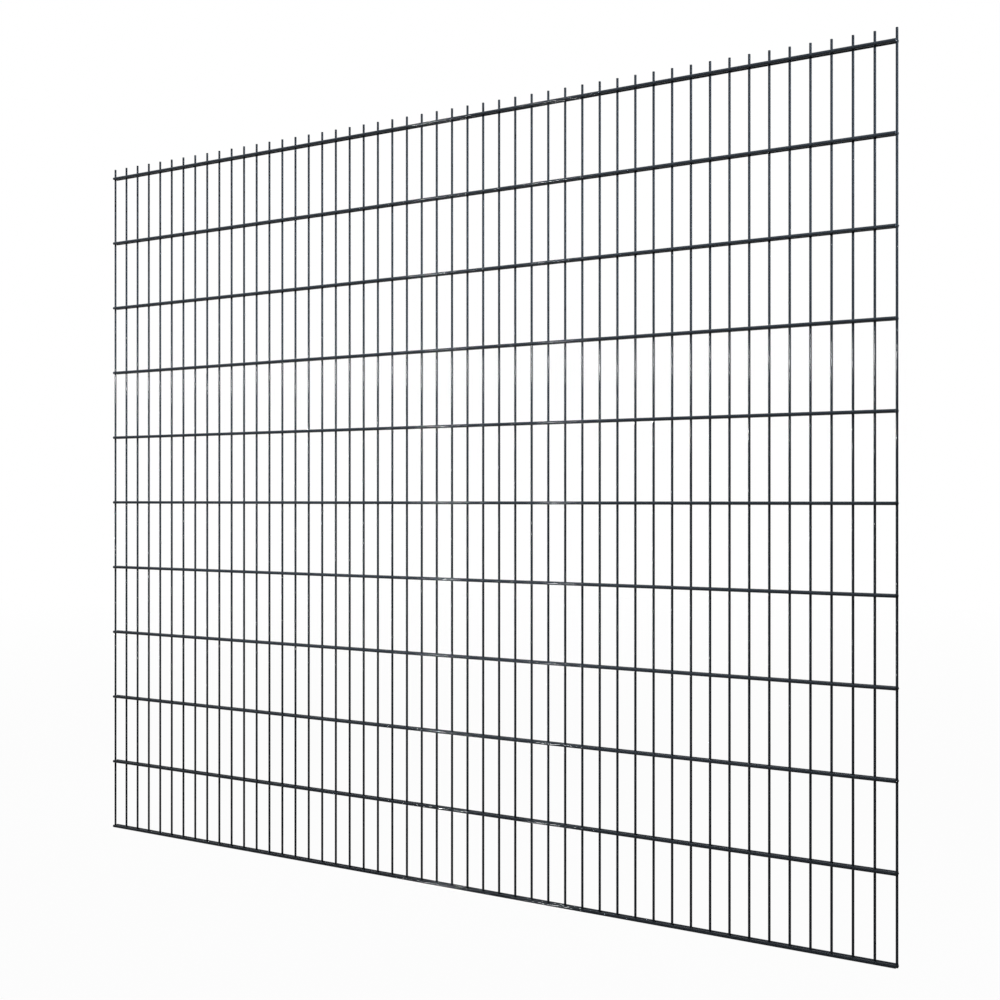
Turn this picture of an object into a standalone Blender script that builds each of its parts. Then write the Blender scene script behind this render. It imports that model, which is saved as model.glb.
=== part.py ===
# Welded mesh fence panel: thin vertical wires held between pairs of thicker horizontal wires.
#
# Metres, +Z up, +X along the panel, and the front looks towards -Y.
# The origin is halfway along the panel, on the flat back of the bottom row, which lies
# against the posts. Rows are numbered from the ground up.

import math

import bmesh
import bpy
from mathutils import Matrix, Vector

# Driving dimensions of the mesh, all between the axes of wires
panel_length = 2.500         # from one end vertical wire to the other
panel_height = 2.000         # from the bottom row to the top row
mesh_width = 0.050           # between neighbouring vertical wires
mesh_height = 0.200          # between neighbouring rows

# Driving dimensions of the wires
vertical_diameter = 0.006
horizontal_diameter = 0.008
tip_length = 0.029           # bare wire above the axis of the top row

# Driving dimensions of the welds
weld_gap = 0.0003            # left between two wires that meet in different nodes
weld_width = 0.004           # of the weld metal between two wires, both ways
weld_seat = 0.001            # how deep the weld metal sits in each wire

# Each wire is a straight bar with flats that face along X, Y and Z
sides_of_a_bar = 8

# Finish: anthracite powder coat
coat_colour = (0.042, 0.051, 0.058)
coat_roughness = 0.42
coat_metallic = 0.0

# Sizes worked out from the driving dimensions
vertical_count = round(panel_length / mesh_width) + 1
row_count = round(panel_height / mesh_height) + 1
foot_height = -horizontal_diameter / 2
tip_height = panel_height + tip_length


# Half the gap comes off each flat, so wires whose round surfaces touch keep the gap
def flat_of(diameter):
    return (diameter - weld_gap) / 2


wire_spacing = flat_of(vertical_diameter) + weld_gap + flat_of(horizontal_diameter)
back_depth = -flat_of(horizontal_diameter)
vertical_depth = back_depth - wire_spacing
front_depth = vertical_depth - wire_spacing


def clear_scene():
    for old in list(bpy.data.objects):
        bpy.data.objects.remove(old, do_unlink=True)


def new_collection(name):
    collection = bpy.data.collections.new(name)
    bpy.context.scene.collection.children.link(collection)
    return collection


def powder_coat(name):
    material = bpy.data.materials.new(name + "_powder_coat")
    material.use_nodes = True
    shader = material.node_tree.nodes["Principled BSDF"]
    shader.inputs["Base Color"].default_value = (*coat_colour, 1)
    shader.inputs["Roughness"].default_value = coat_roughness
    shader.inputs["Metallic"].default_value = coat_metallic
    return material


# A straight wire between two points, as a bar whose flats face the wires beside it
def add_bar(shape, diameter, start, end):
    corner = flat_of(diameter) / math.cos(math.pi / sides_of_a_bar)
    run = end - start
    turn = run.to_track_quat("Z", "Y").to_matrix().to_4x4()
    flats = Matrix.Rotation(math.pi / sides_of_a_bar, 4, "Z")
    bmesh.ops.create_cone(
        shape,
        cap_ends=True,
        segments=sides_of_a_bar,
        radius1=corner,
        radius2=corner,
        depth=run.length,
        matrix=Matrix.Translation((start + end) / 2) @ turn @ flats,
    )


def add_block(shape, centre, size):
    stretch = Matrix.Diagonal((*size, 1))
    bmesh.ops.create_cube(shape, size=1, matrix=Matrix.Translation(centre) @ stretch)


def make_object(name, shape, collection):
    mesh = bpy.data.meshes.new(name)
    shape.to_mesh(mesh)
    shape.free()
    mesh.shade_smooth()
    mesh.set_sharp_from_angle(angle=math.radians(60))
    mesh.materials.append(powder_coat(name))
    piece = bpy.data.objects.new(name, mesh)
    collection.objects.link(piece)
    return piece


# A horizontal wire, from the axis of one end vertical to the axis of the other
def add_row_wire(shape):
    reach = Vector((panel_length / 2, 0, 0))
    add_bar(shape, horizontal_diameter, -reach, reach)


def horizontal_wire(name, depth, height, collection):
    shape = bmesh.new()
    add_row_wire(shape)
    wire = make_object(name, shape, collection)
    wire.location = (0, depth, height)
    return wire


# The wires share the panel's length and height evenly, from one outer wire to the other
def vertical_places():
    pitch = panel_length / (vertical_count - 1)
    return [index * pitch - panel_length / 2 for index in range(vertical_count)]


def row_heights():
    pitch = panel_height / (row_count - 1)
    return [index * pitch for index in range(row_count)]


def vertical_wires(name, collection):
    shape = bmesh.new()
    for place in vertical_places():
        foot = Vector((place, 0, foot_height))
        tip = Vector((place, 0, tip_height))
        add_bar(shape, vertical_diameter, foot, tip)
    wires = make_object(name, shape, collection)
    wires.location.y = vertical_depth
    return wires


# Weld metal on both sides of each vertical, from inside it to inside the wire of the row
def row_welds(name, height, collection):
    shape = bmesh.new()
    depth = weld_gap + 2 * weld_seat
    centre = flat_of(vertical_diameter) + weld_gap / 2
    for place in vertical_places():
        for side in (-1, 1):
            add_block(shape, Vector((place, side * centre, 0)), (weld_width, depth, weld_width))
    welds = make_object(name, shape, collection)
    welds.location = (0, vertical_depth, height)
    return welds


def join(piece, other):
    other.hide_render = True
    other.display_type = "WIRE"
    union = piece.modifiers.new("join_" + other.name, "BOOLEAN")
    union.operation = "UNION"
    union.solver = "EXACT"
    union.object = other


# The vertical wires are one node, carried side by side by the two wires of the top row
def verticals_with_top_row(collection, joined):
    wires = vertical_wires("vertical_wires_with_top_row", collection)
    join(wires, row_welds("top_row_welds", panel_height, joined))
    join(wires, horizontal_wire("top_row_front_wire", front_depth, panel_height, joined))
    join(wires, horizontal_wire("top_row_back_wire", back_depth, panel_height, joined))


def lower_rows(collection):
    for row, height in enumerate(row_heights()[:-1], start=1):
        horizontal_wire(f"row_{row:02d}_front_wire", front_depth, height, collection)
        horizontal_wire(f"row_{row:02d}_back_wire", back_depth, height, collection)


def main():
    clear_scene()
    panel = new_collection("welded_mesh_fence_panel")
    joined = new_collection("pieces_joined_to_others")
    verticals_with_top_row(panel, joined)
    lower_rows(panel)


main()
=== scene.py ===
import math
import random
import bmesh
import bpy
from mathutils import Matrix, Vector


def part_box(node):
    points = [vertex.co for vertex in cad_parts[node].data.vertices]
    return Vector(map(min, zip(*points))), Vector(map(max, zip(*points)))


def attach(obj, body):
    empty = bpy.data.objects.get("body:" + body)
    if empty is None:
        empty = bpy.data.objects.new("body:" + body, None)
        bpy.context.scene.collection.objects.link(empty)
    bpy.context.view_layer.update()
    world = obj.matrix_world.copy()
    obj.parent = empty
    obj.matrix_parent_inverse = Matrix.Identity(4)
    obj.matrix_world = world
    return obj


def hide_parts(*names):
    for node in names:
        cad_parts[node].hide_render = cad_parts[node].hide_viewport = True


# Welded mesh fence panel: round coated wires, their welds and cut ends, in a plain studio.
# Metres, +Z up, +X along the panel, front towards -Y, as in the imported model.

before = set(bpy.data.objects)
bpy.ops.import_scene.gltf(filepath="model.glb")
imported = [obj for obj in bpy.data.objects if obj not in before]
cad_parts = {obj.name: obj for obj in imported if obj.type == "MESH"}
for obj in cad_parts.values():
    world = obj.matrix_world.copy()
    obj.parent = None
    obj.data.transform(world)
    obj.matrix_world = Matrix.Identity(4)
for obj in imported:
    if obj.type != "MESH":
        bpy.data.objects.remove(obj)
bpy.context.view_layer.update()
print("frame loaded")


# places of the wires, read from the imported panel

panelMesh = {
    "verticalWires": 51,
    "rows": 11,                  # the lower ten are nodes of their own
    "coatSlot": "anthracite_powder_coat",
    "sharpAngle": 50,            # degrees, past which an edge shades sharp
}


def readGrid():
    lowFront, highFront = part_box("row_01_front_wire")
    lowBack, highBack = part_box("row_01_back_wire")
    lowNext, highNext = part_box("row_02_front_wire")
    feet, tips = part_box("vertical_wires_with_top_row")
    front = (lowFront + highFront) / 2
    back = (lowBack + highBack) / 2
    rowPitch = (lowNext.z + highNext.z) / 2 - front.z
    wirePitch = (highFront.x - lowFront.x) / (panelMesh["verticalWires"] - 1)
    return {
        "left": lowFront.x,
        "right": highFront.x,
        "front": front.y,
        "back": back.y,
        "middle": (front.y + back.y) / 2,
        "foot": feet.z,
        "tip": tips.z,
        "places": [lowFront.x + wirePitch * i for i in range(panelMesh["verticalWires"])],
        "heights": [front.z + rowPitch * i for i in range(panelMesh["rows"])],
    }


grid = readGrid()
alongX = Vector((1, 0, 0))
upZ = Vector((0, 0, 1))
print("grid read:", len(grid["places"]), "upright wires,", len(grid["heights"]), "rows")


# The nodes that a row's wires stand for: the top row is part of the upright wires' node
def nodesOf(row, sides):
    if row == len(grid["heights"]):
        return ["vertical_wires_with_top_row"]
    return [f"row_{row:02d}_{side}_wire" for side in sides]


# camera at the eye of the picture: level, turned to the panel's left

cameraView = {
    "sensor": 36,                # millimetres
    "lens": 55.236,              # millimetres
    "turn": 35.0,                # degrees
    "right": 2.44877,            # of the panel's middle
    "before": 3.2076,            # the plane of the upright wires
    "above": 1.00726,            # the bottom row
}


def makeCamera():
    data = bpy.data.cameras.new("camera")
    data.lens = cameraView["lens"]
    data.sensor_width = cameraView["sensor"]
    camera = bpy.data.objects.new("camera", data)
    bpy.context.scene.collection.objects.link(camera)
    camera.location = (
        (grid["left"] + grid["right"]) / 2 + cameraView["right"],
        grid["middle"] - cameraView["before"],
        grid["heights"][0] + cameraView["above"],
    )
    camera.rotation_euler = (math.radians(90), 0, math.radians(cameraView["turn"]))
    bpy.context.scene.camera = camera


makeCamera()
print("camera placed")


# helpers for nodes and objects

def newMaterial(name):
    material = bpy.data.materials.new(name)
    material.use_nodes = True
    nodes = material.node_tree.nodes
    nodes.clear()
    return material, nodes, material.node_tree.links


def noiseOn(nodes, links, coordinates, scale, detail):
    noise = nodes.new("ShaderNodeTexNoise")
    noise.inputs["Scale"].default_value = scale
    noise.inputs["Detail"].default_value = detail
    links.new(coordinates.outputs["Object"], noise.inputs["Vector"])
    return noise.outputs["Fac"]


def rangeOf(nodes, links, value, source, result):
    spread = nodes.new("ShaderNodeMapRange")
    spread.inputs["From Min"].default_value = source[0]
    spread.inputs["From Max"].default_value = source[1]
    spread.inputs["To Min"].default_value = result[0]
    spread.inputs["To Max"].default_value = result[1]
    links.new(value, spread.inputs["Value"])
    return spread.outputs["Result"]


def mathOf(nodes, links, operation, first, second):
    worked = nodes.new("ShaderNodeMath")
    worked.operation = operation
    links.new(first, worked.inputs[0])
    links.new(second, worked.inputs[1])
    return worked.outputs["Value"]


# The colours of a Mix node are its inputs 6 and 7 and its output 2
def mixOf(nodes, links, factor, first, second):
    mix = nodes.new("ShaderNodeMix")
    mix.data_type = "RGBA"
    links.new(factor, mix.inputs["Factor"])
    for socket, value in ((mix.inputs[6], first), (mix.inputs[7], second)):
        if isinstance(value, bpy.types.NodeSocket):
            links.new(value, socket)
        else:
            socket.default_value = (*value, 1)
    return mix.outputs[2]


def newObject(name, shape, material):
    mesh = bpy.data.meshes.new(name)
    shape.to_mesh(mesh)
    shape.free()
    mesh.materials.append(material)
    thing = bpy.data.objects.new(name, mesh)
    bpy.context.scene.collection.objects.link(thing)
    return thing


# anthracite powder coat, satin, with the fine ripple that the powder flows out to

powderCoat = {
    "colour": (0.039, 0.049, 0.062),
    "thinColour": (0.034, 0.043, 0.055),    # where the coat lies a little darker
    "cloudsPerMetre": 5.0,                  # slow changes of tone
    "cloudDetail": 3,
    "cloudRange": (0.35, 0.65),             # of the noise, from the thin colour to the full one
    "dustColour": (0.085, 0.092, 0.098),
    "dustShare": 0.10,                      # of what settles on top of the wires
    "dustSlopes": (0.35, 1.0),              # upward part of the normal, from no dust to all of it
    "dustPatches": (0.6, 1.0),              # of that dust, from the barest patch to the fullest
    "dustRange": (0.35, 0.65),              # of the grain, between those patches
    "ripplesPerMetre": 700.0,
    "rippleHeight": 0.000006,
    "rippleStrength": 0.5,
    "grainsPerMetre": 4200.0,
    "fineDetail": 2,                        # of the ripple and the grain
    "roughness": (0.06, 0.09),
    "roughnessRange": (0.3, 0.7),           # of the grain, between the two roughnesses
    "specular": 0.06,
}


def settledDust(nodes, links, grain):
    facing = nodes.new("ShaderNodeNewGeometry")
    upward = nodes.new("ShaderNodeSeparateXYZ")
    links.new(facing.outputs["Normal"], upward.inputs["Vector"])
    mostDust = (0, powderCoat["dustShare"])
    settled = rangeOf(nodes, links, upward.outputs["Z"], powderCoat["dustSlopes"], mostDust)
    patches = rangeOf(nodes, links, grain, powderCoat["dustRange"], powderCoat["dustPatches"])
    return mathOf(nodes, links, "MULTIPLY", settled, patches)


def rippledNormal(nodes, links, ripple):
    bump = nodes.new("ShaderNodeBump")
    bump.inputs["Strength"].default_value = powderCoat["rippleStrength"]
    bump.inputs["Distance"].default_value = powderCoat["rippleHeight"]
    links.new(ripple, bump.inputs["Height"])
    return bump.outputs["Normal"]


def makePowderCoat(name):
    coat = powderCoat
    material, nodes, links = newMaterial(name)
    output = nodes.new("ShaderNodeOutputMaterial")
    shader = nodes.new("ShaderNodeBsdfPrincipled")
    links.new(shader.outputs["BSDF"], output.inputs["Surface"])
    coordinates = nodes.new("ShaderNodeTexCoord")
    clouds = noiseOn(nodes, links, coordinates, coat["cloudsPerMetre"], coat["cloudDetail"])
    ripple = noiseOn(nodes, links, coordinates, coat["ripplesPerMetre"], coat["fineDetail"])
    grain = noiseOn(nodes, links, coordinates, coat["grainsPerMetre"], coat["fineDetail"])

    clouded = rangeOf(nodes, links, clouds, coat["cloudRange"], (0, 1))
    tone = mixOf(nodes, links, clouded, coat["thinColour"], coat["colour"])
    dusted = mixOf(nodes, links, settledDust(nodes, links, grain), tone, coat["dustColour"])
    gloss = rangeOf(nodes, links, grain, coat["roughnessRange"], coat["roughness"])
    links.new(dusted, shader.inputs["Base Color"])
    links.new(gloss, shader.inputs["Roughness"])
    links.new(rippledNormal(nodes, links, ripple), shader.inputs["Normal"])
    shader.inputs["Specular IOR Level"].default_value = coat["specular"]
    return material


coatMaterial = makePowderCoat("anthracitePowderCoat")
print("powder coat made")


# pieces

def finishPiece(name, shape, nodesReplaced):
    piece = newObject(name, shape, coatMaterial)
    piece.data.shade_smooth()
    piece.data.set_sharp_from_angle(angle=math.radians(panelMesh["sharpAngle"]))
    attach(piece, "root")
    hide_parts(*nodesReplaced)


def allOf(shape):
    return shape.verts[:] + shape.edges[:] + shape.faces[:]


def cutAcross(shape, place, along):
    bmesh.ops.bisect_plane(shape, geom=allOf(shape), plane_co=along * place, plane_no=along)


# what all the wires share

plainRod = {
    "sides": 24,
    "roundingSteps": 2,
    "rimAngle": 60,              # degrees: only the rims of the cut ends are sharper
    "ringPlace": 2,              # how many roundings behind the rim
}


# Each cut rim is softened, and a ring of edges behind it keeps the long sides' shading straight
def makeRod(wire, along, low, high):
    shape = bmesh.new()
    middle = along * (low + high) / 2
    bmesh.ops.create_cone(
        shape,
        cap_ends=True,
        segments=plainRod["sides"],
        radius1=wire["diameter"] / 2,
        radius2=wire["diameter"] / 2,
        depth=high - low,
        matrix=Matrix.Translation(middle) @ along.to_track_quat("Z", "Y").to_matrix().to_4x4(),
    )
    rimAngle = math.radians(plainRod["rimAngle"])
    bmesh.ops.bevel(
        shape,
        geom=[edge for edge in shape.edges if edge.calc_face_angle() > rimAngle],
        offset=wire["cutRounding"],
        segments=plainRod["roundingSteps"],
        profile=0.5,
        affect="EDGES",
        material=-1,
    )
    behind = plainRod["ringPlace"] * wire["cutRounding"]
    cutAcross(shape, low + behind, along)
    cutAcross(shape, high - behind, along)
    return shape


# upright wires, from the underside of the bottom row to the bare tips

uprightWire = {
    "diameter": 0.006,
    "cutRounding": 0.0005,       # edge of the sheared end, softened by the coat
}


def makeUprightWires():
    shape = makeRod(uprightWire, upZ, grid["foot"], grid["tip"])
    oneWire = allOf(shape)
    for place in grid["places"][1:]:
        copied = bmesh.ops.duplicate(shape, geom=oneWire)["geom"]
        moved = [part for part in copied if isinstance(part, bmesh.types.BMVert)]
        bmesh.ops.translate(shape, verts=moved, vec=(place - grid["places"][0], 0, 0))
    bmesh.ops.translate(shape, verts=shape.verts, vec=(grid["places"][0], grid["middle"], 0))
    finishPiece("upright_wires", shape, ["vertical_wires_with_top_row"])


makeUprightWires()
print("upright wires made")


# row wires, one in front of the upright wires and one behind, pressed flat at each weld

rowWire = {
    "diameter": 0.008,
    "cutRounding": 0.0006,
    "markLength": 0.007,         # flat left by the welding electrode, opposite each weld
    "markRamp": 0.002,
    "markDepth": 0.00018,
    "markMargin": 0.0004,        # past each ramp: the round stretches between keep their shading
}


# The wire's own ends carry no mark
def pressMarks(shape, outward):
    half = rowWire["markLength"] / 2
    rampEnd = half + rowWire["markRamp"]
    welded = grid["places"][1:-1]
    for place in welded:
        for offset in (half, rampEnd, rampEnd + rowWire["markMargin"]):
            cutAcross(shape, place - offset, alongX)
            cutAcross(shape, place + offset, alongX)
    level = rowWire["diameter"] / 2 - rowWire["markDepth"]
    for vert in shape.verts:
        nearest = min(abs(vert.co.x - place) for place in welded)
        if nearest < half + rowWire["markRamp"] / 2 and vert.co.y * outward > level:
            vert.co.y = level * outward


def makeMarkedWire(outward):
    shape = makeRod(rowWire, alongX, grid["left"], grid["right"])
    pressMarks(shape, outward)
    return shape


def makeRowWires():
    for side, outward in (("front", -1), ("back", 1)):
        markedWire = makeMarkedWire(outward)
        for row, height in enumerate(grid["heights"], start=1):
            shape = markedWire.copy()
            bmesh.ops.translate(shape, verts=shape.verts, vec=(0, grid[side], height))
            finishPiece(f"row_{row:02d}_{side}_round_wire", shape, nodesOf(row, [side]))
        markedWire.free()


makeRowWires()
print("row wires made")


# weld beads, squeezed out between an upright wire and a row wire

weldBead = {
    "width": 0.0068,
    "depth": 0.0024,
    "around": 10,                # faces round the bead
    "across": 4,                 # rings of faces, from its front pole to its back pole
    "variation": 0.12,           # most that a size differs by, as a share of it
    "drift": 0.00025,            # most that a bead lies off its crossing, each way
    "seed": 7,
}


# A bead one unit across, with its poles towards the front and the back
def makeBead():
    shape = bmesh.new()
    bmesh.ops.create_uvsphere(
        shape,
        u_segments=weldBead["around"],
        v_segments=weldBead["across"],
        radius=0.5,
        matrix=Matrix.Rotation(math.radians(90), 4, "X"),
    )
    mesh = bpy.data.meshes.new("bead")
    shape.to_mesh(mesh)
    shape.free()
    return mesh


def setDownBead(shape, bead, centre, chance):
    most = weldBead["variation"]
    uneven = [1 + chance.uniform(-most, most) for axis in range(3)]
    size = Matrix.Diagonal((
        weldBead["width"] * uneven[0],
        weldBead["depth"] * uneven[1],
        weldBead["width"] * uneven[2],
        1,
    ))
    drift = Vector((chance.uniform(-1, 1), 0, chance.uniform(-1, 1))) * weldBead["drift"]
    place = Matrix.Translation(centre + drift)
    earlier = len(shape.verts)
    shape.from_mesh(bead)
    bmesh.ops.transform(shape, matrix=place @ size, verts=shape.verts[earlier:])


def makeWelds():
    chance = random.Random(weldBead["seed"])
    bead = makeBead()
    reach = uprightWire["diameter"] / 2
    for row, height in enumerate(grid["heights"], start=1):
        shape = bmesh.new()
        for place in grid["places"]:
            for side in (-1, 1):
                centre = Vector((place, grid["middle"] + side * reach, height))
                setDownBead(shape, bead, centre, chance)
        finishPiece(f"row_{row:02d}_welds", shape, nodesOf(row, ["front", "back"]))
    bpy.data.meshes.remove(bead)


makeWelds()
print("welds made")


# studio: a pale floor and a white background

studio = {
    "floorSize": 80.0,
    "floorGap": 0.0005,          # under the panel's foot
    "floorColour": (0.35, 0.35, 0.35),
    "nearGlow": 0.975,           # share of plain white, as seen by the eye and in gloss
    "farGlow": 1.0,
    "glowReach": (2.5, 12.0),    # metres from the panel, from the near glow to the far one
    "skyLevel": 0.02,            # of the light that fills in from all round
}


# 1 for what the eye sees, also mirrored or through something clear, and 0 for the light on things
def seenDirectly(nodes, links):
    path = nodes.new("ShaderNodeLightPath")
    seen = path.outputs["Is Camera Ray"]
    for name in ("Is Glossy Ray", "Is Transmission Ray"):
        seen = mathOf(nodes, links, "MAXIMUM", seen, path.outputs[name])
    return seen


def makeSky():
    world = bpy.data.worlds.new("studioSky")
    bpy.context.scene.world = world
    world.use_nodes = True
    nodes, links = world.node_tree.nodes, world.node_tree.links
    nodes.clear()
    output = nodes.new("ShaderNodeOutputWorld")
    background = nodes.new("ShaderNodeBackground")
    background.inputs["Color"].default_value = (1, 1, 1, 1)
    level = rangeOf(nodes, links, seenDirectly(nodes, links), (0, 1), (studio["skyLevel"], 1))
    links.new(level, background.inputs["Strength"])
    links.new(background.outputs["Background"], output.inputs["Surface"])


def makeFloorPaper():
    material, nodes, links = newMaterial("floorPaper")
    output = nodes.new("ShaderNodeOutputMaterial")
    paper = nodes.new("ShaderNodeBsdfDiffuse")
    paper.inputs["Color"].default_value = (*studio["floorColour"], 1)
    white = nodes.new("ShaderNodeEmission")
    coordinates = nodes.new("ShaderNodeTexCoord")
    away = nodes.new("ShaderNodeVectorMath")
    away.operation = "LENGTH"
    links.new(coordinates.outputs["Object"], away.inputs[0])
    glows = (studio["nearGlow"], studio["farGlow"])
    glow = rangeOf(nodes, links, away.outputs["Value"], studio["glowReach"], glows)
    mix = nodes.new("ShaderNodeMixShader")
    share = mathOf(nodes, links, "MULTIPLY", seenDirectly(nodes, links), glow)
    links.new(share, mix.inputs["Fac"])
    links.new(paper.outputs["BSDF"], mix.inputs[1])
    links.new(white.outputs["Emission"], mix.inputs[2])
    links.new(mix.outputs["Shader"], output.inputs["Surface"])
    return material


def makeFloor():
    shape = bmesh.new()
    bmesh.ops.create_grid(shape, x_segments=1, y_segments=1, size=studio["floorSize"] / 2)
    bmesh.ops.translate(shape, verts=shape.verts, vec=(0, 0, grid["foot"] - studio["floorGap"]))
    floor = newObject("floor", shape, makeFloorPaper())


# soft lamps that light the coat's colour and that its gloss doesn't see

lamps = {
    "rightLamp": {
        "place": (5.0, -1.3, 2.4),
        "target": (-1.2, 0, 1.5),
        "size": (1.5, 0.6),
        "spread": 20,            # degrees: a grid on the lamp lets its light fade towards the foot
        "power": 9.2,
    },
    "leftLamp": {
        "place": (-5.0, -1.3, 2.4),
        "target": (1.2, 0, 1.5),
        "size": (1.5, 0.6),
        "spread": 20,
        "power": 9.2,
    },
    "topLamp": {
        "place": (0, -1.3, 5.0),
        "target": (0, 0, 1.2),
        "size": (4.5, 0.6),
        "spread": 20,
        "power": 8.5,
    },
    "lowLamp": {
        "place": (-2.0, -2.6, 1.2),
        "target": (0, 0, 0.7),
        "size": (1.5, 0.6),
        "spread": 20,
        "power": 2.2,
    },
    "backLamp": {
        "place": (0, 2.6, 3.0),
        "target": (0, 0, 1.6),
        "size": (4.5, 1.0),
        "spread": 40,
        "power": 20,
    },
}


def turnTowards(setting):
    return (Vector(setting["target"]) - Vector(setting["place"])).to_track_quat("-Z", "Y")


def makeLamp(name, setting):
    data = bpy.data.lights.new(name, "AREA")
    data.shape = "RECTANGLE"
    data.size, data.size_y = setting["size"]
    data.energy = setting["power"]
    data.spread = math.radians(setting["spread"])
    lamp = bpy.data.objects.new(name, data)
    bpy.context.scene.collection.objects.link(lamp)
    lamp.location = setting["place"]
    lamp.rotation_euler = turnTowards(setting).to_euler()
    lamp.visible_camera = False
    lamp.visible_glossy = False


# glowing cards that only the coat's gloss sees: they make the bright bands and glints on the wires

cards = {
    "longStrip": {
        "place": (0.75, -4.7, 1.75),
        "target": (0, 0, 1.32),
        "size": (2.3, 0.14),
        "glow": 300,
    },
    "smallCard": {
        "place": (-2.33, -3.1, 1.36),
        "target": (0, 0, 1.18),
        "size": (0.16, 0.14),
        "glow": 2100,
    },
    "leftUprightStrip": {
        "place": (-2.99, -4.0, 1.0),
        "target": (0.02, 0, 1.0),
        "size": (0.10, 2.0),
        "glow": 188,
    },
    "rightUprightStrip": {
        "place": (-2.35, -4.2, 1.0),
        "target": (0.37, 0, 1.0),
        "size": (0.10, 2.0),
        "glow": 325,
    },
}


# The glow is found by reflections alone, so the lamps keep all the light samples
def makeCardGlow(name, setting):
    material, nodes, links = newMaterial(name + "Glow")
    output = nodes.new("ShaderNodeOutputMaterial")
    glow = nodes.new("ShaderNodeEmission")
    glow.inputs["Strength"].default_value = setting["glow"]
    links.new(glow.outputs["Emission"], output.inputs["Surface"])
    material.cycles.emission_sampling = "NONE"
    return material


# A flat card one unit across, stretched to its size, turned and set in its place
def makeCard(name, setting):
    place = Matrix.Translation(Vector(setting["place"]))
    turn = turnTowards(setting).to_matrix().to_4x4()
    size = Matrix.Diagonal((*setting["size"], 1, 1))
    shape = bmesh.new()
    bmesh.ops.create_grid(shape, x_segments=1, y_segments=1, size=0.5, matrix=place @ turn @ size)
    card = newObject(name, shape, makeCardGlow(name, setting))
    card.visible_camera = False
    card.visible_diffuse = False
    card.visible_transmission = False
    card.visible_volume_scatter = False
    card.visible_shadow = False


def makeStudio():
    makeSky()
    makeFloor()
    for name, setting in lamps.items():
        makeLamp(name, setting)
    for name, setting in cards.items():
        makeCard(name, setting)
    bpy.context.scene.view_settings.view_transform = "Standard"


makeStudio()
print("studio made")
